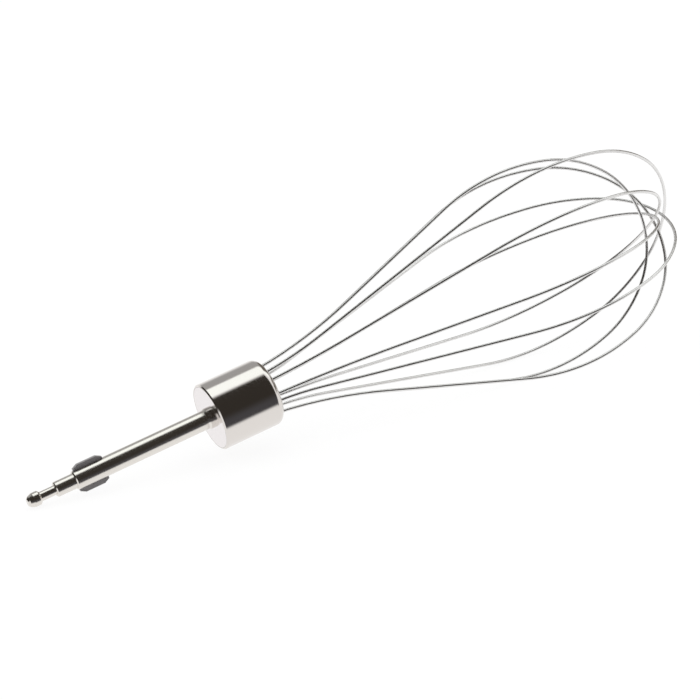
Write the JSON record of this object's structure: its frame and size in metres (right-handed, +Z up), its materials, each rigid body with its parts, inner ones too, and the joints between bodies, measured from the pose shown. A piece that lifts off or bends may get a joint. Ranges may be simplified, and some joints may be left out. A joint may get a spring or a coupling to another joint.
{
  "type": "whisk attachment",
  "caption": "Balloon whisk attachment for a hand-held mixer: turned steel drive shaft with flat drive wings, a round ferrule and nested wire loops that beat air into liquids.",
  "frame": {"origin": "on the floor, under the middle of the resting whisk's box", "axes": "+X from the shaft's free end to the wires, level; +Z up; the whisk's own axis rises towards the wires"},
  "size_m": [0.2342, 0.0722, 0.0705],
  "materials": {
    "polished_steel": "polished stainless steel",
    "key_steel": "plain stainless steel",
    "cap_steel": "polished stainless steel",
    "wire_steel": "drawn stainless steel wire",
    "core_plastic": "plain"
  },
  "bodies": {
    "root": {"drive_shaft": "polished_steel", "drive_key": "key_steel", "ferrule_cup": "polished_steel", "rear_cap": "cap_steel", "wire_core": "core_plastic", "wire_loop_1": "wire_steel", "wire_loop_2": "wire_steel", "wire_loop_3": "wire_steel", "wire_loop_4": "wire_steel", "wire_loop_5": "wire_steel", "wire_loop_6": "wire_steel"}
  },
  "joints": []
}
